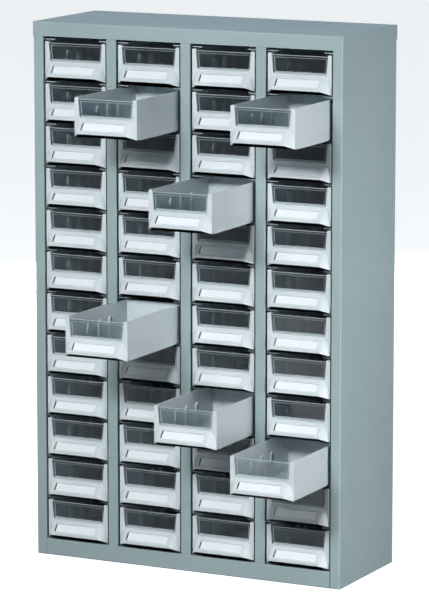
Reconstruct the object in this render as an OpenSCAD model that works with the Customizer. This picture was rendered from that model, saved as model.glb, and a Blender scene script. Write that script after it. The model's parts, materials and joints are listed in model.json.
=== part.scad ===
// Parts organizer: a folded steel cabinet that holds clear-windowed plastic drawers in rows and
// columns. Millimetres, +Z up, front towards -Y, origin in the middle of the base.

/* [Cabinet] */
// Overall width, over the top cap
cab_w = 586; // [500:1:760]
// Overall depth, over the top cap
cab_d = 222; // [180:1:320]
// Overall height
cab_h = 937; // [780:1:1200]
// Thickness of the steel sheet
sheet = 1; // [0.8:0.1:1.4]
// Inside radius of every bend in the sheet
bend_r = 1; // [0.6:0.1:1.4]
// Height of the top cap's flanges
cap_flange_h = 25; // [15:1:40]
// Height of the front rail below the lowest row
rail_h = 29; // [20:1:45]
// How far the rail's top folds back
rail_return = 9; // [6:1:14]
// Width of the side panels' front stiles
stile_w = 18.5; // [14:0.5:26]
// How far a stile's inner edge folds back
stile_return = 9; // [6:1:14]
// Width of the side panels' rear flanges
rear_flange_w = 16; // [10:1:30]
// Width of an upright's front face
upright_w = 19; // [16:0.5:28]
// Depth of an upright's wider front head
upright_head_d = 5; // [4.5:0.5:12]
// Fitting gap between sheet parts that meet edge to edge
seam = 0.3; // [0.2:0.1:0.4]

/* [Ledges] */
// Thickness of a ledge, a hemmed strip
ledge_t = 2; // [1.6:0.1:2.6]
// How far a ledge reaches into the opening
ledge_reach = 18.7; // [14:0.1:26]
// Height of the leg that fixes a ledge to its wall
ledge_leg_h = 8; // [5:1:14]
// Gap between the ledges' front ends and the folds at the cabinet's front
ledge_front_gap = 1; // [0.5:0.5:4]
// Height of the lowest ledge above the rail
ledge_lift = 0.45; // [0.2:0.05:1]
// Gap between the highest ledge and the top flange
head_gap = 4.75; // [3:0.25:9]

/* [Drawer tray] */
// Gap between a drawer front and the opening, each side
side_gap = 2.6; // [2:0.1:3.2]
// Gap between a drawer's posts and the ledge above
head_clear = 1.9; // [1.2:0.1:2.6]
// Running gap between a drawer's glides and its ledges
run_gap = 0.3; // [0.2:0.1:0.5]
// Distance of the drawer fronts behind the cabinet's front
front_setback = 3; // [1.5:0.5:5]
// Gap between a closed drawer and the back panel
rear_gap = 3; // [2:0.5:8]
// Thickness of the tray's walls
tray_wall = 1.8; // [1.4:0.1:2.4]
// Thickness of the tray's floor
tray_floor = 2; // [1.6:0.1:3]
// How far the tray's sides sit inside the edges of its front
tray_inset = 1; // [0.5:0.1:1.5]
// How far each side closes in from front to back
tray_taper = 2; // [0:0.5:3]
// Length of the lowered rim at the back
low_rim_len = 54; // [30:1:80]
// How much lower that rim is
low_rim_drop = 2.4; // [1:0.1:4]
// Height of the two glides under the tray
glide_h = 2.45; // [1.5:0.05:3]
// Width of a glide
glide_w = 3; // [2:0.5:5]
// Distance from the drawer's edge to a glide's middle
glide_inset = 7; // [5:0.5:10]

/* [Drawer front] */
// Thickness of the front's outer skin
front_skin = 2.2; // [1.8:0.1:3]
// Width of the groove that holds the window
groove_w = 2.4; // [2:0.1:3]
// Thickness of the lip behind the groove
groove_lip = 1.6; // [1.2:0.1:2.5]
// Depth of the groove into the posts and sill
groove_d = 1.5; // [1:0.1:2.5]
// Width of a post at its top
post_top_w = 7; // [5:0.5:10]
// Width of a post at its foot
post_foot_w = 10; // [8:0.5:14]
// Height of the sill between the handle and the window
sill_h = 2.5; // [2:0.5:8]
// Clearance around the window in its groove
pane_clear = 0.2; // [0.1:0.05:0.3]
// How far the window's top sits below the posts
pane_drop = 2.6; // [1:0.1:5]

/* [Handle] */
// Height of the handle's top edge above the tray's underside
handle_top_z = 30.2; // [24:0.1:32]
// Height of the nose, where the sloping face ends
handle_nose_z = 10.8; // [8:0.1:14]
// Height of the lip's lower edge
handle_lip_z = 6.9; // [4:0.1:7.5]
// How far the handle stands out from the front
handle_reach = 15.5; // [10:0.5:20]
// Thickness of the handle's shell
handle_wall = 2; // [1.5:0.1:2.5]
// Distance from the drawer's edge to the end of the sloping face
handle_inset = 12.5; // [11:0.5:18]
// Height of the label card
label_h = 14.2; // [9:0.1:15]
// Distance from the end of the sloping face to the label card
label_inset = 7.5; // [5:0.5:14]
// How far the label sits below the middle of the handle's face
label_drop = 1.5; // [0:0.5:2.5]
// Thickness of the label card
label_t = 0.5; // [0.3:0.1:0.8]
// Depth of the label's recess
label_recess = 0.9; // [0.6:0.1:1.2]
// Clearance around the label card in its recess
label_clear = 0.3; // [0.1:0.1:0.6]

/* [Divider guides] */
// Distance from the front to the first guide
guide_first = 69; // [30:1:75]
// Distance from one guide to the next
guide_pitch = 37; // [25:1:38]
// Width over a guide's two legs
guide_w = 11; // [8:0.5:14]
// Thickness of a guide's legs
guide_leg = 2; // [1.2:0.1:3]
// How far a guide stands out from the wall
guide_d = 3; // [1.5:0.5:5]
// Distance from the posts' top to the top of a guide
guide_drop = 21.5; // [15:0.5:28]

/* [Hidden] */
cols = 4;
rows = 12;
guides = 3;
// Drawers that stand open, as [row from the top, column, length still inside]
OPEN = [[2, 2, 58], [2, 4, 72], [4, 3, 53], [7, 2, 22], [9, 3, 70], [10, 4, 72]];

front_y = -cab_d / 2 + sheet; // outer face of the stiles, uprights and rail
rear_y = cab_d / 2 - sheet; // outer face of the side panels' rear flanges
back_face_y = rear_y - 2 * sheet; // inner face of the back panel
body_w = cab_w - 2 * sheet;
body_top = cab_h - sheet;
panel_top = body_top - bend_r; // the panels' top edges, clear of the cap's inner bends
inner_half = body_w / 2 - sheet - bend_r - seam; // half width of what fits between the side panels
opening_w = (body_w - 2 * stile_w - (cols - 1) * upright_w) / cols;
col_pitch = opening_w + upright_w;
fold_r = bend_r + sheet / 2; // bend radius at the middle of the sheet
jog_flat = 0.3; // flat between the two bends of an upright's step
upright_step = 2 * fold_r + jog_flat;
ledge_y = front_y + max(stile_return, rail_return, upright_head_d) + ledge_front_gap;
row_pitch = (cab_h - cap_flange_h - head_gap - rail_h - ledge_lift) / rows;

drawer_w = opening_w - 2 * side_gap;
drawer_h = row_pitch - ledge_t - glide_h - run_gap - head_clear;
drawer_y = front_y + front_setback;
drawer_len = back_face_y - rear_gap - drawer_y;
tray_half = drawer_w / 2 - tray_inset;
window_z = handle_top_z + sill_h;
front_d = front_skin + groove_w + groove_lip;
sill_z = window_z - groove_d - tray_wall; // underside of the sill's thick part
glide_start = 20; // from the drawer's front
glide_end = 6; // from its rear
handle_half = drawer_w / 2 - handle_inset;
face_angle = atan(handle_reach / (handle_top_z - handle_nose_z)); // slope from upright
face_len = norm([handle_reach, handle_top_z - handle_nose_z]);
label_w = 2 * (handle_half - label_inset);
weld = 0.4; // how deep one part of a moulding runs into the next

function col_x(c) = (c - (cols + 1) / 2) * col_pitch;
function ledge_z(level) = rail_h + ledge_lift + level * row_pitch;
function row_z(r) = ledge_z(rows - r) + run_gap + glide_h;
function drawer_name(r, c) = str("drawer_row", r < 10 ? "0" : "", r, "_col", c);
function pulled(r, c) = [for (o = OPEN) if (o[0] == r && o[1] == c) drawer_len - o[2]];
function unit(v) = v / norm(v);

// One flat run of sheet, seen edge on
module flat_run(from, to) {
    side = sheet / 2 * [-unit(to - from)[1], unit(to - from)[0]];
    polygon([from - side, to - side, to + side, from + side]);
}

// One right-angled bend between the directions u and v, seen edge on
module bend(corner, u, v) {
    r = bend_r + sheet;
    centre = corner - fold_r * u + fold_r * v;
    intersection() {
        translate(centre) difference() {
            circle(r, $fn = 48);
            circle(bend_r, $fn = 48);
        }
        polygon([centre, centre - r * v, centre - r * v + r * u, centre + r * u]);
    }
}

// Folded sheet, seen edge on; path runs along the middle of the sheet
module folded(path) {
    last = len(path) - 1;
    for (i = [0:last - 1]) {
        d = unit(path[i + 1] - path[i]);
        flat_run(path[i] + (i > 0 ? fold_r : 0) * d, path[i + 1] - (i < last - 1 ? fold_r : 0) * d);
    }
    for (i = [1:last - 1])
        bend(path[i], unit(path[i] - path[i - 1]), unit(path[i + 1] - path[i]));
}

// Block with rounded upright and top edges, the form that the cap is folded round
module cap_block(w, y0, y1, top, r) {
    d = y1 - y0;
    module rounded_top(width) {
        translate([-width / 2, 0]) square([width, top - r]);
        translate([-width / 2 + r, 0]) square([width - 2 * r, top]);
        for (s = [-1, 1]) translate([s * (width / 2 - r), top - r]) circle(r, $fn = 48);
    }
    module rounded_plan() {
        translate([-w / 2, y0 + r]) square([w, d - 2 * r]);
        translate([-w / 2 + r, y0]) square([w - 2 * r, d]);
        for (s = [-1, 1]) for (y = [y0 + r, y1 - r]) translate([s * (w / 2 - r), y]) circle(r, $fn = 48);
    }
    intersection() {
        linear_extrude(top) rounded_plan();
        translate([0, y1, 0]) rotate([90, 0, 0]) linear_extrude(d) rounded_top(w);
        translate([-w / 2, (y0 + y1) / 2, 0]) rotate([90, 0, 90]) linear_extrude(w) rounded_top(d);
    }
}

module top_cap() {
    color("lightslategray") difference() {
        cap_block(cab_w, -cab_d / 2, cab_d / 2, cab_h, bend_r + sheet);
        cap_block(body_w, front_y, rear_y, body_top, bend_r);
        translate([-cab_w, -cab_d, -1]) cube([2 * cab_w, 2 * cab_d, cab_h - cap_flange_h + 1]);
    }
}

// Side sheet with its front stile and rear flange, drawn as the left one
module side_panel() {
    outer = -body_w / 2 + sheet / 2;
    inner = -body_w / 2 + stile_w - sheet / 2;
    linear_extrude(panel_top) folded([
        [inner, front_y + stile_return],
        [inner, front_y + sheet / 2],
        [outer, front_y + sheet / 2],
        [outer, rear_y - sheet / 2],
        [-body_w / 2 + rear_flange_w, rear_y - sheet / 2]
    ]);
}

module left_side_panel() { color("darkgray") side_panel(); }

module right_side_panel() { color("darkgray") mirror([1, 0, 0]) side_panel(); }

module back_panel() {
    color("darkgray") translate([-inner_half, back_face_y, 0]) cube([2 * inner_half, sheet, panel_top]);
}

// Floor sheet that folds up into the front rail and back along its top
module base_pan() {
    rail_half = body_w / 2 - stile_w - seam;
    floor_y = front_y + stile_return + seam; // the floor widens behind the stiles
    color("darkgray") {
        translate([-rail_half, 0, 0]) rotate([90, 0, 90]) linear_extrude(2 * rail_half) folded([
            [front_y + rail_return, rail_h - sheet / 2],
            [front_y + sheet / 2, rail_h - sheet / 2],
            [front_y + sheet / 2, sheet / 2],
            [back_face_y, sheet / 2]
        ]);
        translate([-inner_half, floor_y, 0]) cube([2 * inner_half, back_face_y - floor_y, sheet]);
    }
}

// Channel between two columns: a wide front face and two walls that carry ledges
module upright(i) {
    face = upright_w / 2 - sheet / 2;
    wall = face - upright_step;
    head_y = front_y + upright_head_d;
    color("darkgray") translate([(i - cols / 2) * col_pitch, 0, 0]) difference() {
        translate([0, 0, sheet]) linear_extrude(panel_top - sheet) folded([
            [-wall, back_face_y], [-wall, head_y], [-face, head_y], [-face, front_y + sheet / 2],
            [face, front_y + sheet / 2], [face, head_y], [wall, head_y], [wall, back_face_y]
        ]);
        // notch that steps over the rail
        translate([-upright_w, front_y - 1, 0]) cube([2 * upright_w, rail_return + 1 + seam, rail_h]);
    }
}

// One ledge, from a wall at x = 0 out to the given reach
module ledge(reach, z) {
    len = back_face_y - ledge_y;
    translate([0, ledge_y, z - ledge_t]) cube([reach, len, ledge_t]);
    translate([0, ledge_y, z - ledge_t - ledge_leg_h]) cube([sheet, len, ledge_leg_h + weld]);
}

// The ledges on both sides of one column, one pair below each row and one above the top row
module ledges(c) {
    by_upright = upright_step + ledge_reach;
    by_panel = stile_w - sheet + ledge_reach;
    left = c == 1 ? by_panel : by_upright;
    right = c == cols ? by_panel : by_upright;
    color("silver") for (level = [0:rows]) {
        translate([col_x(c) - opening_w / 2 + ledge_reach - left, 0, 0]) ledge(left, ledge_z(level));
        translate([col_x(c) + opening_w / 2 - ledge_reach + right, 0, 0])
            mirror([1, 0, 0]) ledge(right, ledge_z(level));
    }
}

// Outline of a drawer front with its window cut out, grown by "more" for the groove
module front_outline(more) {
    w = drawer_w / 2;
    polygon([
        [-w, 0], [w, 0], [w, drawer_h], [w - post_top_w + more, drawer_h],
        [w - post_foot_w + more, window_z - more], [-w + post_foot_w - more, window_z - more],
        [-w + post_top_w - more, drawer_h], [-w, drawer_h]
    ]);
}

// A slice of the drawer front between two depths
module front_slice(y0, y1, more) {
    translate([0, y1, 0]) rotate([90, 0, 0]) linear_extrude(y1 - y0) front_outline(more);
}

module front_frame() {
    front_slice(0, front_skin, 0);
    intersection() {
        union() {
            front_slice(front_skin, front_skin + groove_w, groove_d);
            front_slice(front_skin + groove_w, front_d, 0);
        }
        translate([-drawer_w / 2 + tray_inset, 0, sill_z]) cube([2 * tray_half, front_d, drawer_h]);
    }
}

// Plan of the tray, stepped in by a wall thickness
module tray_plan(in, y0) {
    front = tray_half - in;
    back = front - tray_taper;
    polygon([[-front, y0], [front, y0], [back, drawer_len - in], [-back, drawer_len - in]]);
}

module tray_shell() {
    difference() {
        linear_extrude(drawer_h) tray_plan(0, weld);
        translate([0, 0, tray_floor]) linear_extrude(drawer_h) tray_plan(tray_wall, front_skin);
        translate([-drawer_w / 2, -1, tray_floor]) cube([drawer_w, 1 + front_skin, drawer_h]);
        translate([-drawer_w / 2, drawer_len - low_rim_len, drawer_h - low_rim_drop])
            cube([drawer_w, low_rim_len + 1, low_rim_drop + 1]);
    }
}

// One cane-shaped guide on the left wall, that a divider's edge slides into
module guide(i) {
    middle = guide_first + i * guide_pitch + guide_w / 2;
    wall_x = tray_half - tray_taper * middle / drawer_len; // outer face of the wall there
    arch_z = drawer_h - guide_drop - guide_w / 2;
    module arch(r, foot) {
        translate([-r, foot]) square([2 * r, arch_z - foot]);
        translate([0, arch_z]) circle(r, $fn = 48);
    }
    translate([-wall_x + tray_wall / 2, middle, 0]) rotate([90, 0, 90])
        linear_extrude(tray_wall / 2 + guide_d) difference() {
            arch(guide_w / 2, tray_floor / 2);
            arch(guide_w / 2 - guide_leg, 0);
        }
}

module guides_both_sides() {
    for (i = [0:guides - 1]) {
        guide(i);
        mirror([1, 0, 0]) guide(i);
    }
}

module glides() {
    for (s = [-1, 1])
        translate([s * (drawer_w / 2 - glide_inset) - glide_w / 2, glide_start, -glide_h])
            cube([glide_w, drawer_len - glide_start - glide_end, glide_h + weld]);
}

// Solid form of the handle, shrunk by a wall thickness to give its hollow
module handle_form(in, bottom) {
    half = handle_half - in;
    cheek = handle_inset - 1.2;
    back = in > 0 ? 0 : weld;
    hull() {
        translate([-half, 0, 0]) rotate([90, 0, 90]) linear_extrude(2 * half) polygon([
            [back, handle_top_z - in / sin(face_angle)],
            [0, handle_top_z - in / sin(face_angle)],
            [-handle_reach + in, handle_nose_z - in / sin(face_angle) + in / tan(face_angle)],
            [-handle_reach + in, bottom > 0 ? bottom : handle_nose_z / 2],
            [back, bottom > 0 ? bottom : handle_nose_z / 2]
        ]);
        translate([0, back, 0]) rotate([90, 0, 0]) linear_extrude(weld) polygon(concat(
            [for (t = [0:15:90]) [half + 1.2 + (cheek - 0.05) * sin(t), (handle_top_z - 2 - in) * cos(t)]],
            [for (t = [90:-15:0]) [-half - 1.2 - (cheek - 0.05) * sin(t), (handle_top_z - 2 - in) * cos(t)]]
        ));
    }
}

// Places its children at the label's middle on the handle's sloping face, x along it and y up it
module on_face() {
    translate([0, -handle_reach / 2, (handle_top_z + handle_nose_z) / 2]) rotate([90 - face_angle, 0, 0])
        translate([0, -label_drop, 0]) children();
}

module label_plate(w, h, t) { translate([-w / 2, -h / 2, 0]) cube([w, h, t]); }

module tray() {
    difference() {
        union() {
            tray_shell();
            front_frame();
            guides_both_sides();
            glides();
            handle_form(0, handle_lip_z);
        }
        handle_form(handle_wall, 0);
        on_face() translate([0, 0, -label_recess])
            label_plate(label_w + 2 * label_clear, label_h + 2 * label_clear, 2 * label_recess);
    }
}

module pane() {
    more = groove_d - pane_clear;
    w = drawer_w / 2;
    top = drawer_h - pane_drop;
    lean = (post_foot_w - post_top_w) / (drawer_h - window_z); // post width gained per unit down
    top_half = w - post_top_w + more - lean * pane_drop;
    foot_half = w - post_foot_w + more;
    translate([0, front_skin + groove_w - pane_clear, 0]) rotate([90, 0, 0])
        linear_extrude(groove_w - 2 * pane_clear) polygon([
            [-foot_half, window_z - more], [foot_half, window_z - more], [top_half, top], [-top_half, top]
        ]);
}

module label_card() {
    gap = 0.1; // the card lies loose on the recess floor
    on_face() translate([0, 0, gap - label_recess]) label_plate(label_w, label_h, label_t);
}

module drawer(r, c) {
    out = concat(pulled(r, c), [0])[0];
    translate([col_x(c), drawer_y - out, row_z(r)]) {
        color("gainsboro") tray();
        color("lightcyan", 0.4) pane();
        color("white") label_card();
    }
}

top_cap();
left_side_panel();
right_side_panel();
back_panel();
base_pan();
for (i = [1:cols - 1])
    upright(i);
for (c = [1:cols])
    ledges(c);
for (r = [1:rows]) for (c = [1:cols])
    drawer(r, c);
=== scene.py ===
# %% [markdown]
# # A steel parts organizer with clear-fronted plastic drawers
# The cabinet is folded from thin powder-coated sheet. It holds twelve rows of four moulded drawers,
# and each drawer has a clear window, a sloping handle that is hollow underneath, and a label card.
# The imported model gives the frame: every box below is measured from it, in metres, and the small
# sizes that it doesn't state are named here in millimetres.

# %% Load the frame
import json
import math

import bmesh
import bpy
from mathutils import Matrix, Vector

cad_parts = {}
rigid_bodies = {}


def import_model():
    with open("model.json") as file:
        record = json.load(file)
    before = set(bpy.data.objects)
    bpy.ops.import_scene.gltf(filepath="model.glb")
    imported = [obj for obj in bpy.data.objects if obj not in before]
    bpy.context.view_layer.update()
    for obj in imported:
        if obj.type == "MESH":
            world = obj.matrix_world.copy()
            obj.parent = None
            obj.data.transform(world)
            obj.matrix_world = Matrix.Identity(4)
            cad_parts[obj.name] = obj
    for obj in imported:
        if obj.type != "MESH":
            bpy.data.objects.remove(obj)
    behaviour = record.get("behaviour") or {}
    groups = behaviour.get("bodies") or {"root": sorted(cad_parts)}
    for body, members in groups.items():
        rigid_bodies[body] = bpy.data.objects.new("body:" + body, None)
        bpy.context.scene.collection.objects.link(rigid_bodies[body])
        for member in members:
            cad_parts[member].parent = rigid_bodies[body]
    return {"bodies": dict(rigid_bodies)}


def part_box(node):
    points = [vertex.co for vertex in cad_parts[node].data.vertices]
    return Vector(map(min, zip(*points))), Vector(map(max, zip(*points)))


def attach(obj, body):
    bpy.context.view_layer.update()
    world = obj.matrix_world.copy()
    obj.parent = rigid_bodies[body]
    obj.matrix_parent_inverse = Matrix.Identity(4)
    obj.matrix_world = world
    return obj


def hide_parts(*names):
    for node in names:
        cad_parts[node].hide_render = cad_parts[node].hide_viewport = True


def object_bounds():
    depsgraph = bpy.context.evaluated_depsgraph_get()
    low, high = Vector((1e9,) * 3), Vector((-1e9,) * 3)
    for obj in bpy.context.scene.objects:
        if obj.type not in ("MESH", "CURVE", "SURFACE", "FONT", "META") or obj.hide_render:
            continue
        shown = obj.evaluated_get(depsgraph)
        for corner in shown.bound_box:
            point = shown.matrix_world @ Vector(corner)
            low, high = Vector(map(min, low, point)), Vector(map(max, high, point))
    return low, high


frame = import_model()
cad_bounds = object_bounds()

MM = 0.001
drawer_names = sorted(name for name in frame["bodies"] if name.startswith("drawer"))
cad_size = [round(v / MM, 1) for v in cad_bounds[1] - cad_bounds[0]]
print("drawers:", len(drawer_names), "overall mm:", cad_size)


# %% [markdown]
# ## Helpers for materials
# Colours are written as the hex value that a paint or granule chart would give, which is sRGB.
# Shader sockets want linear light, so one function turns every hex value into it.
# A second function adds a node, sets its properties and its values, and makes its links, so that
# each material below reads as a short list of what it is made of. A noise texture keeps mostly to
# the middle of its range, so ramps and spreads start and stop there.

# %% Colour and node helpers
NOISE_LOW, NOISE_HIGH = 0.3, 0.7


def linear(hex_colour):
    channels = [int(hex_colour[i : i + 2], 16) / 255 for i in (1, 3, 5)]
    return [c / 12.92 if c <= 0.04045 else ((c + 0.055) / 1.055) ** 2.4 for c in channels] + [1.0]


def add(tree, kind, values=None, links=None, **settings):
    """Adds one node: settings are its properties, values go on sockets, links come from sockets."""
    made = tree.nodes.new(kind)
    for name, value in settings.items():
        setattr(made, name, value)
    for socket, value in (values or {}).items():
        made.inputs[socket].default_value = value
    for socket, source in (links or {}).items():
        tree.links.new(source, made.inputs[socket])
    return made


def start_material(name, **numbers):
    """A material with a Principled shader; numbers are uniform values for the shader's sockets."""
    material = bpy.data.materials.new(name)
    material.use_nodes = True
    tree = material.node_tree
    tree.nodes.clear()
    values = {socket.replace("_", " "): value for socket, value in numbers.items()}
    shader = add(tree, "ShaderNodeBsdfPrincipled", values)
    add(tree, "ShaderNodeOutputMaterial", links={"Surface": shader.outputs["BSDF"]})
    place = add(tree, "ShaderNodeTexCoord").outputs["Object"]
    return material, tree, shader, place


def noise(tree, place, size_mm, detail=2.0, roughness=0.5, stretch=(1, 1, 1)):
    """Noise with blotches about size_mm across, longer along an axis whose stretch is small."""
    turned = add(tree, "ShaderNodeMapping", {"Scale": stretch}, {"Vector": place})
    values = {"Scale": 1 / (size_mm * MM), "Detail": detail, "Roughness": roughness}
    made = add(tree, "ShaderNodeTexNoise", values, {"Vector": turned.outputs["Vector"]})
    return made.outputs["Fac"]


def tint(tree, shader, fac, colour_low, colour_high):
    """Colours a shader between two hex colours by a pattern."""
    made = add(tree, "ShaderNodeValToRGB", links={"Fac": fac})
    for element, position, colour in zip(
        made.color_ramp.elements, (NOISE_LOW, NOISE_HIGH), (colour_low, colour_high)
    ):
        element.position = position
        element.color = linear(colour)
    tree.links.new(made.outputs["Color"], shader.inputs["Base Color"])


def gloss(tree, shader, fac, low, high):
    """Makes a shader's roughness run from low to high by a pattern."""
    values = {"From Min": NOISE_LOW, "From Max": NOISE_HIGH, "To Min": low, "To Max": high}
    mapped = add(tree, "ShaderNodeMapRange", values, {"Value": fac})
    tree.links.new(mapped.outputs["Result"], shader.inputs["Roughness"])


def relief(tree, shader, fac, depth_mm):
    """Bump whose full height is depth_mm."""
    values = {"Strength": 1.0, "Distance": depth_mm * MM}
    bump = add(tree, "ShaderNodeBump", values, {"Height": fac})
    tree.links.new(bump.outputs["Normal"], shader.inputs["Normal"])


# %% [markdown]
# ## Powder-coated steel
# The cabinet's sheet is sprayed with grey-blue epoxy-polyester powder and baked, which leaves a
# satin skin with a faint orange peel. The peel's cells are about 1.5 mm across, and a slower drift
# of tone, some 200 mm wide, comes from the thickness of the coat. The ledges get the same powder,
# but sliding drawers rub them, so their gloss varies along the drawers' travel.

# %% Steel finishes
def powder_coat(name, dark, light, gloss_low, gloss_high, rub=(1, 1, 1)):
    material, tree, shader, place = start_material(name, IOR=1.5)
    tint(tree, shader, noise(tree, place, size_mm=200, detail=3), dark, light)
    worn = noise(tree, place, size_mm=9, detail=4, stretch=rub)
    gloss(tree, shader, worn, gloss_low, gloss_high)
    relief(tree, shader, noise(tree, place, size_mm=1.5, detail=1), depth_mm=0.02)
    return material


steel_paint = powder_coat("powder_coated_steel", "#9EAEB0", "#A4B4B6", 0.42, 0.54)
ledge_paint = powder_coat(
    "powder_coated_ledge_steel", "#A3AFB2", "#B1BDC0", 0.30, 0.50, rub=(1, 0.08, 1)
)
print("steel finishes:", steel_paint.name, ledge_paint.name)


# %% [markdown]
# ## Moulded drawer plastic
# The trays are injection-moulded polypropylene, pale grey with a little blue. Light goes a short
# way into it, which softens the shade in its corners. The mould's spark-eroded skin shows as a
# fine grain, about 0.6 mm, and the flow of the melt leaves tones 60 mm wide, drawn out from front
# to back.

# %% Moulded plastic
def moulded_plastic():
    material, tree, shader, place = start_material(
        "moulded_polypropylene", IOR=1.49, Subsurface_Weight=0.12,
        Subsurface_Radius=(0.004, 0.004, 0.004), Subsurface_Scale=0.5,
    )
    flow = noise(tree, place, size_mm=60, detail=2, stretch=(1, 0.4, 1))
    tint(tree, shader, flow, "#C9D1D5", "#D2D9DC")
    grain = noise(tree, place, size_mm=0.6, detail=1)
    gloss(tree, shader, grain, 0.32, 0.44)
    relief(tree, shader, grain, depth_mm=0.01)
    return material


drawer_plastic = moulded_plastic()
print("tray:", drawer_plastic.name)


# %% [markdown]
# ## Window plastic
# The windows are crystal polystyrene: clear and glossy, with a breath of blue grey and hairlines
# from handling. A thin pane lets a lamp's light straight through, while a renderer would bend it
# and lose it, so rays that look for a lamp meet a tinted see-through surface instead of glass. That
# tint is far darker than the pane looks, which paints deeper shade inside the closed drawers. The
# pane's cut edges and moulded steps are the same plastic, rubbed matt, and light gathers in them.

# %% Clear and matt polystyrene
def let_lamps_through(tree, shader, colour):
    """Rays from lamps go straight through and keep a colour, so that what is behind is lit."""
    output = next(node for node in tree.nodes if node.type == "OUTPUT_MATERIAL")
    path = add(tree, "ShaderNodeLightPath")
    open_way = add(tree, "ShaderNodeBsdfTransparent", {"Color": linear(colour)})
    mixed = add(tree, "ShaderNodeMixShader", links={
        0: path.outputs["Is Shadow Ray"], 1: shader.outputs["BSDF"], 2: open_way.outputs["BSDF"],
    })
    tree.links.new(mixed.outputs["Shader"], output.inputs["Surface"])


def clear_polystyrene():
    material, tree, shader, place = start_material(
        "clear_polystyrene", IOR=1.58, Transmission_Weight=1.0
    )
    tint(tree, shader, noise(tree, place, size_mm=40, detail=2), "#DCE6EB", "#E4EDF1")
    hairlines = noise(tree, place, size_mm=2, detail=5, stretch=(0.1, 1, 3))
    gloss(tree, shader, hairlines, 0.04, 0.16)
    relief(tree, shader, hairlines, depth_mm=0.004)
    # the lamps' tint is far darker than the pane itself: painted shade inside the closed drawers
    let_lamps_through(tree, shader, "#6C7478")
    return material


def matt_polystyrene():
    material, tree, shader, place = start_material(
        "frosted_edge_and_sill_highlight", IOR=1.58, Transmission_Weight=0.5
    )
    rubbed = noise(tree, place, size_mm=3, detail=4)
    tint(tree, shader, rubbed, "#CBD7DC", "#DAE4E8")
    gloss(tree, shader, rubbed, 0.45, 0.65)
    relief(tree, shader, rubbed, depth_mm=0.01)
    let_lamps_through(tree, shader, "#AEBAC0")
    return material


window_plastic = clear_polystyrene()
matt_edge_and_sill_highlight = matt_polystyrene()
print("window:", window_plastic.name, matt_edge_and_sill_highlight.name)


# %% [markdown]
# ## Label card
# Uncoated white card shows a felt of fibres about 1 mm long, which run mostly along the sheet.

# %% White card
def white_card():
    material, tree, shader, place = start_material("white_card")
    fibres = noise(tree, place, size_mm=1.0, detail=6, roughness=0.7, stretch=(0.4, 1, 1))
    tint(tree, shader, fibres, "#DADFE3", "#E3E7EA")
    gloss(tree, shader, fibres, 0.7, 0.85)
    relief(tree, shader, fibres, depth_mm=0.03)
    return material


label_card = white_card()
print("materials:", [m.name for m in bpy.data.materials])


# %% [markdown]
# ## Helpers for shapes
# Folded sheet and moulded walls are both outlines pushed straight through, so most shapes here
# start as one face whose corners are rounded by a vertex bevel and which is then extruded.
# Mouldings are put together from such solids with exact booleans, and their edges are eased at
# the end, the way a toolmaker breaks every edge of a mould.

# %% Shape helpers
AXES = {"x": (0, 1, 2), "y": (1, 0, 2), "z": (2, 0, 1)}
MERGE_DISTANCE = 0.002
FLAT_WITHIN = math.radians(0.5)
SMOOTH_BELOW = math.radians(40)
EASE_SEGMENTS = 2
SAME_PLACE = 1e-6


def bevel(bm, geom, offset, affect, segments, **more):
    bmesh.ops.bevel(
        bm, geom=geom, offset=offset, offset_type="OFFSET", affect=affect, segments=segments,
        profile=0.5, material=-1, **more,
    )


def prism(outline, lo, hi, along, rounds=(), segments=5):
    """Extrudes an outline along an axis; rounds lists (radius, corners) that are rounded first."""
    main, first, second = AXES[along]
    bm = bmesh.new()
    corners = []
    for a, b in outline:
        point = [0.0, 0.0, 0.0]
        point[main], point[first], point[second] = lo, a, b
        corners.append(bm.verts.new(point))
    bm.faces.new(corners)
    for radius, which in rounds:
        bevel(bm, [corners[i] for i in which], radius, "VERTICES", segments)
    grown = bmesh.ops.extrude_face_region(bm, geom=bm.faces[:])["geom"]
    push = Vector((0, 0, 0))
    push[main] = hi - lo
    bmesh.ops.translate(bm, vec=push, verts=[v for v in grown if isinstance(v, bmesh.types.BMVert)])
    bmesh.ops.recalc_face_normals(bm, faces=bm.faces[:])
    return bm


def block(lo, hi):
    """A plain box between two corners, used inside booleans and for flat sheet."""
    outline = [(lo[0], lo[1]), (hi[0], lo[1]), (hi[0], hi[1]), (lo[0], hi[1])]
    return prism(outline, lo[2], hi[2], "z")


def ease(bm, width, sharper_than=30):
    """Rounds every edge that is sharper than an angle in degrees."""
    limit = math.radians(sharper_than)
    sharp = [e for e in bm.edges if len(e.link_faces) == 2 and e.calc_face_angle(0) > limit]
    bevel(bm, sharp, width, "EDGES", EASE_SEGMENTS, clamp_overlap=True, miter_outer="ARC")
    return bm


def as_object(name, bm):
    mesh = bpy.data.meshes.new(name)
    bm.to_mesh(mesh)
    bm.free()
    made = bpy.data.objects.new(name, mesh)
    bpy.context.scene.collection.objects.link(made)
    return made


def carve(base, steps):
    """Exact booleans on a closed shape: steps are ("UNION" or "DIFFERENCE", closed shape) pairs."""
    work = as_object("work", base)
    tools = []
    for operation, tool in steps:
        tools.append(as_object("tool", tool))
        cut = work.modifiers.new("boolean", "BOOLEAN")
        cut.operation = operation
        cut.solver = "EXACT"
        cut.object = tools[-1]
    graph = bpy.context.evaluated_depsgraph_get()
    result = bmesh.new()
    result.from_mesh(work.evaluated_get(graph).to_mesh())
    for temporary in [work, *tools]:
        mesh = temporary.data
        bpy.data.objects.remove(temporary)
        bpy.data.meshes.remove(mesh)
    bmesh.ops.remove_doubles(result, verts=result.verts[:], dist=MERGE_DISTANCE)
    bmesh.ops.dissolve_limit(
        result, angle_limit=FLAT_WITHIN, verts=result.verts[:], edges=result.edges[:]
    )
    return result
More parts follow.
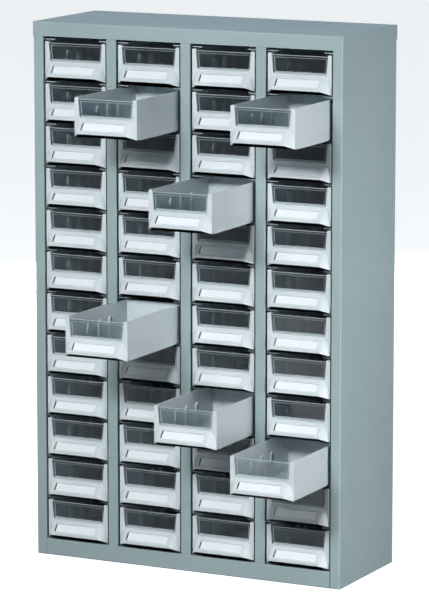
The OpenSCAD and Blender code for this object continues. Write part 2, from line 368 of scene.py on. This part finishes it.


# %% [markdown]
# ## Helpers for pieces
# Meshes are drawn in millimetres and shrunk to metres once. A finished piece rides on the body
# that carries it, takes its finish from its mesh, and stands for its CAD node.

# %% Piece helpers
def finish_mesh(name, bm, material):
    """Turns a bmesh into a mesh in metres with its material, smooth but for its sharp edges."""
    bmesh.ops.scale(bm, vec=(MM, MM, MM), verts=bm.verts[:])
    for face in bm.faces:
        face.smooth = True
    for edge in bm.edges:
        edge.smooth = edge.calc_face_angle(0) < SMOOTH_BELOW
    mesh = bpy.data.meshes.new(name)
    bm.to_mesh(mesh)
    bm.free()
    mesh.materials.append(material)
    return mesh


def put(name, mesh, body, slot, *nodes):
    """Shows a finished mesh as a piece that rides on a body and stands for CAD nodes."""
    piece = bpy.data.objects.new(name, mesh)
    bpy.context.scene.collection.objects.link(piece)
    shading = piece.modifiers.new("even_shading", "WEIGHTED_NORMAL")
    shading.keep_sharp = True
    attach(piece, body)
    if nodes:
        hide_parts(*nodes)


def box_mm(node):
    lo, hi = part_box(node)
    return lo / MM, hi / MM


def put_cabinet_part(node, kind, bm, material=steel_paint, slot="painted_steel"):
    """Puts one part of the cabinet in place and prints how far its box is from its CAD node's."""
    mesh = finish_mesh(f"{node}_{kind}", bm, material)
    co = [v.co for v in mesh.vertices]
    lo = Vector([min(c[i] for c in co) for i in range(3)])
    hi = Vector([max(c[i] for c in co) for i in range(3)])
    cad_lo, cad_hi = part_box(node)
    off = max(abs(v) for v in list(lo - cad_lo) + list(hi - cad_hi)) / MM
    print(f"{node}: {len(mesh.polygons)} faces, box off by {off:.2f} mm")
    put(f"{node}_{kind}", mesh, "cabinet", slot, node)


# %% [markdown]
# ## Folded sheet
# Each panel is one sheet bent along straight lines, so its section is all that has to be drawn.
# The section is worked out from the line along the middle of the sheet: both faces lie half a
# thickness away, and each fold is rounded by the bend radius inside and by that plus the sheet
# outside.

# %% The section of a folded sheet
SHEET = 1.0
HALF_SHEET = SHEET / 2
BEND_RADIUS = 1.0
EDGE_EASE = 0.15
SHEET_EDGE_ANGLE = 60


def sheet_section(path):
    """Outline of a sheet folded at right angles along a path, and the corners to round."""
    inside, outside = BEND_RADIUS, BEND_RADIUS + SHEET
    left, right, rounds = [], [], {inside: [], outside: []}
    points = [Vector(p) for p in path]
    last = len(points) - 1
    for i, point in enumerate(points):
        before = (points[i] - points[i - 1]).normalized() if i > 0 else None
        after = (points[i + 1] - points[i]).normalized() if i < last else None
        sides = [Vector((-d.y, d.x)) for d in (before, after) if d]
        offset = sum(sides, Vector((0, 0))) * HALF_SHEET
        left.append(point + offset)
        right.append(point - offset)
        if before and after:
            left_is_inside = before.cross(after) > 0
            rounds[inside if left_is_inside else outside].append(i)
            rounds[outside if left_is_inside else inside].append(2 * last + 1 - i)
    outline = [tuple(p) for p in left + right[::-1]]
    return outline, [(radius, which) for radius, which in rounds.items() if which]


def folded(path, lo, hi, along):
    outline, rounds = sheet_section(path)
    return prism(outline, lo, hi, along, rounds, segments=6)


def ease_sheet(bm):
    """Breaks the cut edges of a sheet and leaves its bends alone."""
    return ease(bm, EDGE_EASE, SHEET_EDGE_ANGLE)


# %% [markdown]
# ## Side panels
# Each side is one tall sheet. Its front edge folds round into a stile, whose inner edge folds back
# once more, and its rear edge folds into a flange that holds the back panel.

# %% Side panels
STILE_RETURN = 9.0
REAR_FLANGE = 16.0


def side_panel(node):
    lo, hi = box_mm(node)
    outer, inner = (lo.x, hi.x) if hi.x < 0 else (hi.x, lo.x)
    toward = 1 if inner > outer else -1
    half = HALF_SHEET * toward
    path = [
        (inner - half, lo.y + STILE_RETURN),
        (inner - half, lo.y + HALF_SHEET),
        (outer + half, lo.y + HALF_SHEET),
        (outer + half, hi.y - HALF_SHEET),
        (outer + REAR_FLANGE * toward, hi.y - HALF_SHEET),
    ]
    put_cabinet_part(node, "sheet", ease_sheet(folded(path, lo.z, hi.z, "z")))


side_panel("left_side_panel")
side_panel("right_side_panel")


# %% [markdown]
# ## Back panel and base pan
# The back is a flat sheet. The base pan is the floor: at the front it folds up into the rail below
# the lowest drawers and then back, and behind the stiles it widens to reach the side panels.

# %% Back panel and base pan
RAIL_RETURN = 9.0
SEAM = 0.3

put_cabinet_part("back_panel", "sheet", ease_sheet(block(*box_mm("back_panel"))))

pan_lo, pan_hi = box_mm("base_pan")
stile_inner = box_mm("right_side_panel")[0].x
rail = folded(
    [
        (pan_lo.y + RAIL_RETURN, pan_hi.z - HALF_SHEET),
        (pan_lo.y + HALF_SHEET, pan_hi.z - HALF_SHEET),
        (pan_lo.y + HALF_SHEET, pan_lo.z + HALF_SHEET),
        (pan_hi.y, pan_lo.z + HALF_SHEET),
    ],
    -stile_inner + SEAM, stile_inner - SEAM, "x",
)
floor_sheet = block(
    (pan_lo.x, pan_lo.y + STILE_RETURN + SEAM, pan_lo.z), (pan_hi.x, pan_hi.y, pan_lo.z + SHEET)
)
put_cabinet_part("base_pan", "sheet", ease_sheet(carve(rail, [("UNION", floor_sheet)])))


# %% [markdown]
# ## Uprights
# An upright is a channel between two columns. Its wide front face frames the drawers, and behind
# it the walls step in, so that drawers and ledges have room beside them. Its foot is notched to
# pass over the folded top of the rail.

# %% Uprights
HEAD_DEPTH = 5.0
FOLD_GAP = 0.3
WALL_STEP = 2 * (BEND_RADIUS + HALF_SHEET) + FOLD_GAP
BEYOND = 1


def upright(node):
    lo, hi = box_mm(node)
    middle = (lo.x + hi.x) / 2
    face = (hi.x - lo.x) / 2 - HALF_SHEET
    wall = face - WALL_STEP
    head_y = lo.y + HEAD_DEPTH
    half_path = [(face, lo.y + HALF_SHEET), (face, head_y), (wall, head_y), (wall, hi.y)]
    path = [(middle - x, y) for x, y in half_path[::-1]] + [(middle + x, y) for x, y in half_path]
    notch = block(
        (lo.x - BEYOND, lo.y - BEYOND, lo.z - BEYOND),
        (hi.x + BEYOND, lo.y + RAIL_RETURN + SEAM, pan_hi.z),
    )
    channel = carve(folded(path, lo.z, hi.z, "z"), [("DIFFERENCE", notch)])
    put_cabinet_part(node, "channel", ease_sheet(channel))


for number in (1, 2, 3):
    upright(f"upright_{number}")


# %% [markdown]
# ## Top cap
# The lid is folded down on all four sides, and its corners are welded and ground round. It is a
# rounded block with a smaller rounded block taken out of it from below.

# %% Top cap
CAP_SEGMENTS = 5
HOLLOW_BELOW = 5


def rounded_block(lo, hi, radius):
    """A block whose edges are all rounded but for those round its foot."""
    bm = block(lo, hi)
    above_foot = [e for e in bm.edges if any(abs(v.co.z - lo[2]) >= SAME_PLACE for v in e.verts)]
    bevel(bm, above_foot, radius, "EDGES", CAP_SEGMENTS)
    return bm


cap_lo, cap_hi = box_mm("top_cap")
skin = Vector((SHEET, SHEET, 0))
hollow = rounded_block(
    cap_lo + skin - Vector((0, 0, HOLLOW_BELOW)), cap_hi - skin - Vector((0, 0, SHEET)), BEND_RADIUS
)
cap = carve(rounded_block(cap_lo, cap_hi, BEND_RADIUS + SHEET), [("DIFFERENCE", hollow)])
put_cabinet_part("top_cap", "sheet", ease_sheet(cap))


# %% [markdown]
# ## Ledges
# Every drawer slides on two folded strips, one on each wall of its column. The strips are all
# alike but for their reach, so one piece holds a column's ledges, as it would hang on one jig in
# the paint line.

# %% Ledges
OPENING = 122.5
LEDGE_REACH = 18.7
LEDGE_THICK = 2.0
LEDGE_LEG = 8.0
LEDGE_ROUND = 0.8
LEVELS = 13


def ledge_strip(x_wall, x_tip, y0, y1, top):
    """An L-shaped strip: a level leg out to x_tip and a short leg down the wall."""
    x_leg = x_wall + (SHEET if x_tip > x_wall else -SHEET)
    under = top - LEDGE_THICK
    foot = under - LEDGE_LEG
    outline = [
        (x_wall, top), (x_tip, top), (x_tip, under), (x_leg, under), (x_leg, foot), (x_wall, foot),
    ]
    return prism(outline, y0, y1, "y", [(LEDGE_ROUND, [1, 2])], segments=3)


def ledges(column):
    node = f"ledges_col{column}"
    lo, hi = box_mm(node)
    centre = sum(box_mm(f"drawer_row01_col{column}")[i].x for i in (0, 1)) / 2
    tip = OPENING / 2 - LEDGE_REACH
    pitch = (hi.z - lo.z - LEDGE_THICK - LEDGE_LEG) / (LEVELS - 1)
    joined = bpy.data.meshes.new(node)
    bm = bmesh.new()
    for level in range(LEVELS):
        for wall, end in ((lo.x, centre - tip), (hi.x, centre + tip)):
            ledge_strip(wall, end, lo.y, hi.y, hi.z - level * pitch).to_mesh(joined)
            bm.from_mesh(joined)
    bpy.data.meshes.remove(joined)
    bmesh.ops.recalc_face_normals(bm, faces=bm.faces[:])
    put_cabinet_part(node, "strips", bm, ledge_paint, "ledge_steel")


for column in (1, 2, 3, 4):
    ledges(column)


# %% [markdown]
# ## Sizes of a drawer
# The tray is one moulding, so it is built once, in millimetres, with its front's outer face at
# y = 0 and its underside at z = 0, and copied to each place. Its outside comes from a drawer's box
# less the glides below it and the handle in front of it.

# %% Sizes of a drawer
GLIDE_HEIGHT = 2.45
HANDLE_REACH = 15.5
first_lo, first_hi = box_mm(drawer_names[0])
WIDTH = first_hi.x - first_lo.x
HEIGHT = first_hi.z - first_lo.z - GLIDE_HEIGHT
LENGTH = first_hi.y - first_lo.y - HANDLE_REACH
HALF = WIDTH / 2
print(f"drawer: {WIDTH:.1f} x {LENGTH:.1f} x {HEIGHT:.1f} mm")


# %% [markdown]
# ## Tray box and window frame
# The box tapers towards its back so that it leaves its mould. A thin plate in front is as wide as
# the drawer, with a thicker frame behind it, and the window's opening leans outwards to its top.

# %% Tray box and window frame
WALL = 1.8
FLOOR = 2.0
TRAY_HALF = HALF - 1.0
TAPER = 2.0
TRAY_FRONT = 1.0
TRAY_CORNER, TRAY_FOOT_ROUND = 3.0, 1.0
INSIDE_CORNER, INSIDE_FOOT_ROUND = 2.2, 1.5
SKIN = 2.2
FRONT_DEPTH = 6.2
FRONT_ROUND = 1.2
POST_TOP = 7.0
POST_FOOT = 10.0
HANDLE_TOP = 30.2
SILL = 2.5
WINDOW_Z = HANDLE_TOP + SILL
OPEN_ABOVE = 4.0


def tray_block(inset, y0, z0, z1, corner, floor_round):
    """The tapered block that the tray is, or that its inside is."""
    front = TRAY_HALF - inset
    back = front - TAPER
    plan = [(-front, y0), (front, y0), (back, LENGTH - inset), (-back, LENGTH - inset)]
    bm = prism(plan, z0, z1, "z", [(corner, [2, 3])])
    foot = [e for e in bm.edges if all(abs(v.co.z - z0) < SAME_PLACE for v in e.verts)]
    bevel(bm, foot, floor_round, "EDGES", 3)
    return bm


def window_outline(more):
    """The window's opening, grown by more on its sides and sill."""
    top, foot = HALF - POST_TOP + more, HALF - POST_FOOT + more
    high = top + (top - foot) / (HEIGHT - WINDOW_Z) * OPEN_ABOVE
    z0, z1 = WINDOW_Z - more, HEIGHT + OPEN_ABOVE
    return [(-foot, z0), (foot, z0), (high, z1), (-high, z1)]


def front_plate(half, y0, y1, z0):
    outline = [(-half, z0), (half, z0), (half, HEIGHT), (-half, HEIGHT)]
    return prism(outline, y0, y1, "y", [(FRONT_ROUND, [2, 3])], segments=3)


# %% [markdown]
# ## Handle
# The handle slopes out from below the window to a nose with a short lip, and flares into an arch
# where it meets the plate. It is the hull of its profile and of that arch, and a smaller hull is
# taken out from below, which leaves a wall for the fingers to pull on.

# %% Handle
NOSE = 10.8
LIP = 6.9
HANDLE_INSET = 12.5
HANDLE_HALF = HALF - HANDLE_INSET
FACE_ANGLE = math.atan2(HANDLE_REACH, HANDLE_TOP - NOSE)
ARCH_START = 1.2
ARCH_MARGIN = 0.05
ARCH_DROP = 2
ARCH_STEPS = 8
HOLLOW_DROP = 3
HANDLE_ROOT = 0.6
HULL_FLAT = math.radians(1)


def handle_form(inset, y_back):
    """The handle's outer form where inset is 0, or else its hollow."""
    half = HANDLE_HALF - inset
    drop = inset / math.sin(FACE_ANGLE)
    bm = bmesh.new()
    for x in (-half, half):
        bm.verts.new((x, y_back, HANDLE_TOP - drop))
        bm.verts.new((x, 0, HANDLE_TOP - drop))
        bm.verts.new((x, -HANDLE_REACH + inset, NOSE - drop + inset / math.tan(FACE_ANGLE)))
        bm.verts.new((x, -HANDLE_REACH + inset, 0 if inset else LIP))
    for side in (-1, 1):
        for step in range(ARCH_STEPS + 1):
            t = math.radians(90 * step / ARCH_STEPS)
            x = half + ARCH_START + (HANDLE_INSET - ARCH_START - ARCH_MARGIN) * math.sin(t)
            z = (HANDLE_TOP - ARCH_DROP - inset) * math.cos(t) - (HOLLOW_DROP if inset else 0)
            bm.verts.new((side * x, y_back, z))
            bm.verts.new((side * x, 0, z))
    hull = bmesh.ops.convex_hull(bm, input=bm.verts[:])
    left_over = hull["geom_interior"] + hull["geom_unused"]
    spare = {v for v in left_over if isinstance(v, bmesh.types.BMVert) and v.is_valid}
    bmesh.ops.delete(bm, geom=list(spare), context="VERTS")
    bmesh.ops.dissolve_limit(bm, angle_limit=HULL_FLAT, verts=bm.verts[:], edges=bm.edges[:])
    bmesh.ops.recalc_face_normals(bm, faces=bm.faces[:])
    return bm


# %% [markdown]
# ## Label recess
# The card lies in a shallow recess in the handle's sloping face, a little below its middle. A
# narrow slot beside the card goes right through the wall, so that a finger can push the card out.

# %% Label card and its recess
HANDLE_WALL = 2.0
LABEL_INSET = 7.5
LABEL_W = 2 * (HANDLE_HALF - LABEL_INSET)
LABEL_H = 14.2
LABEL_RECESS = 1.4
LABEL_SLOT = 1.6
LABEL_CLEAR = 0.6
LABEL_DROP = 1.5
CARD_BACK, CARD_FRONT = -1.3, -0.8
FINGER_SLOT = 1.8
FINGER_GAP = 0.2
CARD_CORNER, RECESS_CORNER, SLOT_CORNER = 0.5, 0.8, 0.6
ABOVE_FACE = 2
SLOT_SHORTER = 1


def on_face(bm):
    """Moves a shape drawn flat round the origin onto the handle's sloping face."""
    turn = Matrix.Rotation(math.pi / 2 - FACE_ANGLE, 4, "X")
    place = Matrix.Translation((0, -HANDLE_REACH / 2, (HANDLE_TOP + NOSE) / 2))
    lower = Matrix.Translation((0, -LABEL_DROP, 0))
    bmesh.ops.transform(bm, matrix=place @ turn @ lower, verts=bm.verts[:])
    return bm


def card_block(w, h, z0, z1, corner, more_left=0.0):
    left = -w / 2 - more_left
    outline = [(left, -h / 2), (w / 2, -h / 2), (w / 2, h / 2), (left, h / 2)]
    return prism(outline, z0, z1, "z", [(corner, [0, 1, 2, 3])], segments=3)


def label_recess():
    w, h = LABEL_W + 2 * LABEL_CLEAR, LABEL_H + 2 * LABEL_CLEAR
    return on_face(card_block(w, h, -LABEL_RECESS, ABOVE_FACE, RECESS_CORNER, LABEL_SLOT))


def finger_slot():
    slot = card_block(
        FINGER_SLOT, LABEL_H - SLOT_SHORTER, -HANDLE_WALL - BEYOND, BEYOND, SLOT_CORNER
    )
    middle = -(LABEL_W + FINGER_SLOT) / 2 - FINGER_GAP
    bmesh.ops.translate(slot, vec=(middle, 0, 0), verts=slot.verts[:])
    return on_face(slot)


# %% [markdown]
# ## Divider guides, glides and rim
# Three pairs of guides stand on the side walls. Each is shaped like a cane's crook, two legs up
# the wall joined by a round arch, and a divider plate would slide between neighbours. Two glides
# under the floor carry the tray, and its rim is lowered over the last part of its length.

# %% Divider guides, glides and rim
GUIDE_FIRST = 69.0
GUIDE_PITCH = 37.0
GUIDE_WIDTH = 11.0
GUIDE_LEG = 2.0
GUIDE_OUT = 3.0
GUIDE_DROP = 21.5
GUIDE_STEPS = 10
GLIDE_INSET = 7.0
GLIDE_HALF = 1.5
GLIDE_FRONT, GLIDE_BACK = 20, 6
RIM_LENGTH = 54.0
RIM_DROP = 2.4


def guide(index, side):
    middle = GUIDE_FIRST + index * GUIDE_PITCH + GUIDE_WIDTH / 2
    wall = TRAY_HALF - TAPER * middle / LENGTH
    arch_z = HEIGHT - GUIDE_DROP - GUIDE_WIDTH / 2

    def arch(radius, foot, x0, x1):
        outline = [(middle - radius, foot), (middle + radius, foot)]
        for i in range(GUIDE_STEPS + 1):
            t = math.pi * i / GUIDE_STEPS
            outline.append((middle + radius * math.cos(t), arch_z + radius * math.sin(t)))
        return prism(outline, x0, x1, "x")

    x0, x1 = sorted((side * (wall - WALL / 2), side * (wall - WALL - GUIDE_OUT)))
    inner = arch(GUIDE_WIDTH / 2 - GUIDE_LEG, -BEYOND, x0 - BEYOND, x1 + BEYOND)
    return carve(arch(GUIDE_WIDTH / 2, FLOOR / 2, x0, x1), [("DIFFERENCE", inner)])


def glide(side):
    x = side * (HALF - GLIDE_INSET)
    return block(
        (x - GLIDE_HALF, GLIDE_FRONT, -GLIDE_HEIGHT),
        (x + GLIDE_HALF, LENGTH - GLIDE_BACK, FLOOR / 2),
    )


def rim_cut():
    start, low = LENGTH - RIM_LENGTH, HEIGHT - RIM_DROP
    end, high = LENGTH + BEYOND, HEIGHT + BEYOND
    profile = [(start, high), (start + RIM_DROP, low), (end, low), (end, high)]
    return prism(profile, -HALF - BEYOND, HALF + BEYOND, "x")


# %% [markdown]
# ## The whole tray
# The front is made and eased first, so that the edges a hand meets are round. Then the box joins
# it, and the window's opening and the groove for the pane are cut through both.

# %% Put the tray together
GROOVE = 2.4
GROOVE_DEPTH = 1.5
FRAME_Z = WINDOW_Z - GROOVE_DEPTH - WALL
FRAME_INSET = 0.6
FRONT_EASE, FRONT_EASE_ANGLE = 0.45, 28
SILL_ROUND = 2.5
GROOVE_ROUND = 0.4
REACH = 10

front = carve(front_plate(HALF, 0, SKIN, 0), [
    ("UNION", handle_form(0, HANDLE_ROOT)),
    ("DIFFERENCE", handle_form(HANDLE_WALL, 0.0)),
    ("DIFFERENCE", label_recess()),
    ("DIFFERENCE", finger_slot()),
])
ease(front, FRONT_EASE, FRONT_EASE_ANGLE)
inside = tray_block(WALL, SKIN, FLOOR, HEIGHT + REACH, INSIDE_CORNER, INSIDE_FOOT_ROUND)
box = carve(tray_block(0, TRAY_FRONT, 0, HEIGHT, TRAY_CORNER, TRAY_FOOT_ROUND), [
    ("DIFFERENCE", inside),
    ("UNION", front_plate(TRAY_HALF - FRAME_INSET, TRAY_FRONT, FRONT_DEPTH, FRAME_Z)),
    *[("UNION", guide(i, side)) for i in range(3) for side in (-1, 1)],
    *[("UNION", glide(side)) for side in (-1, 1)],
    ("DIFFERENCE", rim_cut()),
])
opening = prism(
    window_outline(0), -REACH / 2, FRONT_DEPTH + REACH / 2, "y", [(SILL_ROUND, [0, 1])]
)
groove = prism(window_outline(GROOVE_DEPTH), SKIN, SKIN + GROOVE, "y", [(GROOVE_ROUND, [0, 1])])
tray = carve(front, [("UNION", box), ("DIFFERENCE", opening), ("DIFFERENCE", groove)])
tray_mesh = finish_mesh("tray", tray, drawer_plastic)
print("tray:", len(tray_mesh.vertices), "vertices", len(tray_mesh.polygons), "faces")


# %% [markdown]
# ## Window and label card
# The window is a flat moulding that drops into the groove from above. Its front is sunk inside a
# raised rim. Three insets of the front face draw it: a matt line along the pane's edge, the clear
# flat of the rim, and the matt step down to the sunk face. The rim's lower flat is left matt too,
# a painted highlight above the sill, while its upper flat stays clear.

# %% Window and label card
PANE_CLEAR = 0.2
PANE_DROP = 2.6
PANE_EASE, PANE_EASE_ANGLE = 0.25, 20
EDGE_LINE = 1.3
RIM_WIDTH = 2.5
STEP_WIDTH = 1.1
STEP_DEPTH = 0.7
CLEAR, MATT = 0, 1


def window_pane():
    more = GROOVE_DEPTH - PANE_CLEAR
    lean = (POST_FOOT - POST_TOP) / (HEIGHT - WINDOW_Z)
    foot = HALF - POST_FOOT + more
    top = HALF - POST_TOP + more - lean * PANE_DROP
    z0, z1 = WINDOW_Z - more, HEIGHT - PANE_DROP
    outline = [(-foot, z0), (foot, z0), (top, z1), (-top, z1)]
    pane = prism(outline, SKIN + PANE_CLEAR, SKIN + GROOVE - PANE_CLEAR, "y")
    outer_face = min(pane.faces, key=lambda f: (f.calc_center_median().y, -f.calc_area()))
    for face in pane.faces:
        face.material_index = MATT

    def inset(width, depth=0.0):
        made = bmesh.ops.inset_region(
            pane, faces=[outer_face], thickness=width, depth=depth, use_even_offset=True
        )
        return made["faces"]

    inset(EDGE_LINE)
    rim = inset(RIM_WIDTH)
    inset(STEP_WIDTH, -STEP_DEPTH)
    back_face = max(pane.faces, key=lambda f: f.calc_center_median().y)
    # the rim's lower flat keeps the pale matt plastic, a painted highlight above the sill
    upper_rim = [f for f in rim if f.calc_center_median().z > WINDOW_Z + RIM_WIDTH]
    for face in [outer_face, back_face, *upper_rim]:
        face.material_index = CLEAR
    return ease(pane, PANE_EASE, PANE_EASE_ANGLE)


window_mesh = finish_mesh("window", window_pane(), window_plastic)
window_mesh.materials.append(matt_edge_and_sill_highlight)
card = on_face(card_block(LABEL_W, LABEL_H, CARD_BACK, CARD_FRONT, CARD_CORNER))
card_mesh = finish_mesh("label", card, label_card)
print("window:", len(window_mesh.polygons), "card:", len(card_mesh.polygons), "faces")


# %% [markdown]
# ## Every drawer in its place
# The three meshes are copied once for each drawer, and each copy's place goes into its mesh, so
# that every object stays at the origin. All three pieces ride on the drawer's own body.

# %% Every drawer in its place
def place_drawer(node):
    lo, hi = box_mm(node)
    corner = Vector(((lo.x + hi.x) / 2, lo.y + HANDLE_REACH, lo.z + GLIDE_HEIGHT))
    move = Matrix.Translation(corner * MM)
    for kind, master, slot, stands_for in (
        ("tray", tray_mesh, "drawer_plastic", [node]),
        ("window", window_mesh, "window_plastic", []),
        ("label", card_mesh, "label_card", []),
    ):
        mesh = master.copy()
        mesh.transform(move)
        mesh.name = f"{node}_{kind}"
        put(f"{node}_{kind}", mesh, node, slot, *stands_for)


for node in drawer_names:
    place_drawer(node)


# %% [markdown]
# ## Camera
# A long lens from the front right, a little above the cabinet's top.

# %% Camera
YAW, PITCH = -0.4656, -0.1709

camera_data = bpy.data.cameras.new("camera")
camera = bpy.data.objects.new("camera", camera_data)
bpy.context.scene.collection.objects.link(camera)
camera.location = (2.7995, -5.5708, 1.5330)
level = math.cos(PITCH)
forward = Vector((math.sin(YAW) * level, math.cos(YAW) * level, math.sin(PITCH)))
camera.rotation_mode = "QUATERNION"
camera.rotation_quaternion = forward.to_track_quat("-Z", "Y")
camera_data.lens = 219.58
camera_data.clip_end = 200
bpy.context.scene.camera = camera
print("camera at", tuple(round(v, 2) for v in camera.location), "lens", camera_data.lens)


# %% [markdown]
# ## Floor
# A white sweep in a studio is lit until it reads as paper white, so the floor glows a little
# besides taking the lights. It is kept out of bounced light and of reflections, because the
# world below gives both.

# %% Floor
FLOOR_HALF = 40
FLOOR_GAP = 0.0005


def make_floor():
    bm = bmesh.new()
    bmesh.ops.create_grid(bm, x_segments=1, y_segments=1, size=FLOOR_HALF)
    material, tree, shader, place = start_material(
        "white_sweep_paper", Roughness=0.9, Emission_Color=(1, 1, 1, 1), Emission_Strength=0.7
    )
    tint(tree, shader, noise(tree, place, size_mm=900, detail=1), "#F4F6F8", "#F6F8FA")
    mesh = bpy.data.meshes.new("floor")
    bm.to_mesh(mesh)
    bm.free()
    mesh.materials.append(material)
    floor = bpy.data.objects.new("floor", mesh)
    bpy.context.scene.collection.objects.link(floor)
    floor.location.z = cad_bounds[0].z - FLOOR_GAP
    floor.visible_diffuse = False
    floor.visible_glossy = False
    print("floor at z mm:", round(floor.location.z / MM, 2))


make_floor()


# %% [markdown]
# ## World
# The camera sees a white backdrop, and diffuse light gets a dim fill. Gloss sees a dark room in
# front and the bright backdrop behind. A ray that has come through a window gets nothing, because
# the inside of a closed drawer is dark.

# %% World
def make_world(seen, fill, mirrored_front, mirrored_back):
    world = bpy.data.worlds.new("studio")
    bpy.context.scene.world = world
    world.use_nodes = True
    tree = world.node_tree
    tree.nodes.clear()
    ray = add(tree, "ShaderNodeLightPath")
    way = add(tree, "ShaderNodeTexCoord").outputs["Generated"]
    depth = add(tree, "ShaderNodeSeparateXYZ", links={"Vector": way}).outputs["Y"]
    values = {"From Min": -0.2, "From Max": 0.5, "To Min": mirrored_front, "To Max": mirrored_back}
    mirrored = add(tree, "ShaderNodeMapRange", values, {"Value": depth}).outputs["Result"]
    lit = add(
        tree, "ShaderNodeMix", {"A": fill}, {"Factor": ray.outputs["Is Glossy Ray"], "B": mirrored}
    )
    inside = add(
        tree, "ShaderNodeMath", {1: 1.5}, {0: ray.outputs["Transmission Depth"]},
        operation="GREATER_THAN",
    )
    dimmed = add(
        tree, "ShaderNodeMix", {"B": 0.0},
        {"Factor": inside.outputs["Value"], "A": lit.outputs["Result"]},
    )
    shown = add(
        tree, "ShaderNodeMix", {"B": seen},
        {"Factor": ray.outputs["Is Camera Ray"], "A": dimmed.outputs["Result"]},
    )
    backdrop = {"Color": linear("#E9F2F8")}
    sky = add(tree, "ShaderNodeBackground", backdrop, {"Strength": shown.outputs["Result"]})
    add(tree, "ShaderNodeOutputWorld", links={"Surface": sky.outputs["Background"]})
    print("world nodes:", len(tree.nodes))


make_world(seen=1.3, fill=0.2, mirrored_front=0.04, mirrored_back=1.05)


# %% [markdown]
# ## Lights
# The main panel hangs in front, nearly square to the drawers and well above them, so the handles
# throw short shadows and the open drawers long ones. A weaker panel far to the left softens
# those. A tall panel stands on the right, level with the open drawers, and lights their sides and
# the cabinet's. A low one in front is the bounce from the sweep, a bluish one above lights the
# top, and one behind, below the top's level, lights the back and the left side.

# %% Lights
PANELS = {
    "key_panel": ((-2.1, -5.4, 3.2), (0, 0, 0.4), (0.9, 0.9), 40, "#FFFFFF"),
    "front_panel": ((0.1, -3.4, 2.2), (0, 0, 0.4), (0.8, 0.5), 110, "#FFFFFF"),
    "side_panel": ((1.2, -0.24, 0.38), (0.3, -0.05, 0.38), (0.4, 1.4), 10.5, "#FFFFFF"),
    "sweep_bounce": ((0.3, -1.3, 0.0), (0.1, 0, 0.3), (1.6, 0.5), 2.6, "#FFFFFF"),
    "ceiling_panel": ((0.1, 0.4, 3.0), (0, 0, 0.9), (1.2, 1.2), 12, "#A8CCF0"),
    "rear_panel": ((-2.0, 2.6, 0.45), (0, 0, 0.45), (1.2, 0.7), 40, "#FFFFFF"),
}


def soft_panel(name, place, target, size, power, colour):
    light = bpy.data.lights.new(name, "AREA")
    light.shape = "RECTANGLE"
    light.size, light.size_y = size
    light.energy = power
    light.color = linear(colour)[:3]
    lamp = bpy.data.objects.new(name, light)
    lamp.visible_transmission = False
    lamp.visible_camera = False
    bpy.context.scene.collection.objects.link(lamp)
    lamp.location = place
    lamp.rotation_mode = "QUATERNION"
    lamp.rotation_quaternion = (Vector(target) - Vector(place)).to_track_quat("-Z", "Y")


for name, panel in PANELS.items():
    soft_panel(name, *panel)
bpy.context.scene.view_settings.gamma = 0.8
bpy.context.scene.view_settings.view_transform = "Standard"
print("lights:", list(PANELS))
